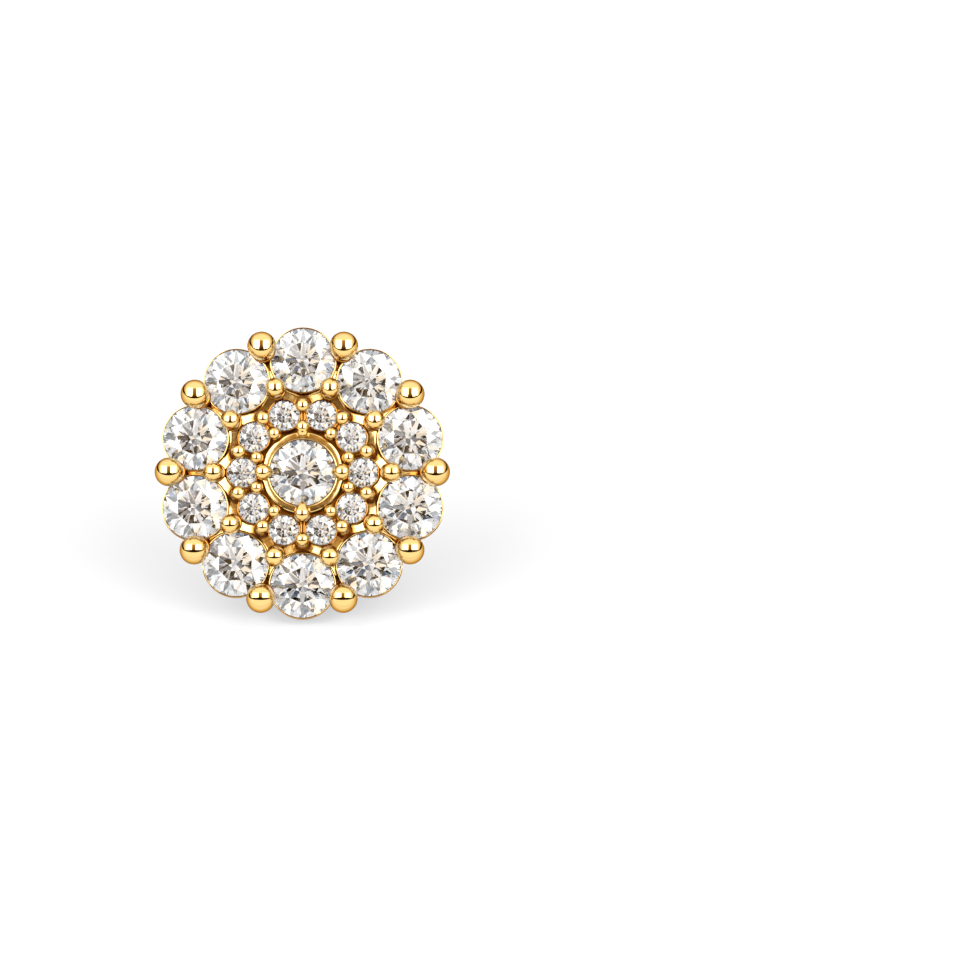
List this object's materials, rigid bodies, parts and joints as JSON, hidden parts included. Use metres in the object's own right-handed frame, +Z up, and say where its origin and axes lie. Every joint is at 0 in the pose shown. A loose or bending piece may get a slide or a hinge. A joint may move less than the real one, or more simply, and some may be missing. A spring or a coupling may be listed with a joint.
{
  "type": "cluster stud earring",
  "caption": "Round flower-shaped stud earring: a faceted centre stone in a halo of small stones and a ring of larger ones, in a polished gold setting with a straight ear post.",
  "frame": {"origin": "middle of the underside of the resting earring's box, on the surface that it rests on", "axes": "+Z up; +Y from the stones' faces towards the tip of the post, the longest way; +X to the right as the face is seen; the face looks along -Y and leans back 29 degrees"},
  "size_m": [0.0138, 0.0152, 0.0126],
  "materials": {
    "setting_gold": "cast yellow gold, mirror polished",
    "post_gold": "drawn yellow gold wire, burnished",
    "centre_stone": "clear colourless cut moissanite, polished facets",
    "outer_stones": "clear colourless cut moissanite, polished facets",
    "halo_stones": "clear colourless cut moissanite, polished facets"
  },
  "bodies": {
    "root": {"setting": "setting_gold", "ear_post": "post_gold", "centre_stone": "centre_stone", "outer_stone_01": "outer_stones", "outer_stone_02": "outer_stones", "outer_stone_03": "outer_stones", "outer_stone_04": "outer_stones", "outer_stone_05": "outer_stones", "outer_stone_06": "outer_stones", "outer_stone_07": "outer_stones", "outer_stone_08": "outer_stones", "outer_stone_09": "outer_stones", "outer_stone_10": "outer_stones", "halo_stone_01": "halo_stones", "halo_stone_02": "halo_stones", "halo_stone_03": "halo_stones", "halo_stone_04": "halo_stones", "halo_stone_05": "halo_stones", "halo_stone_06": "halo_stones", "halo_stone_07": "halo_stones", "halo_stone_08": "halo_stones", "halo_stone_09": "halo_stones", "halo_stone_10": "halo_stones"}
  },
  "joints": []
}
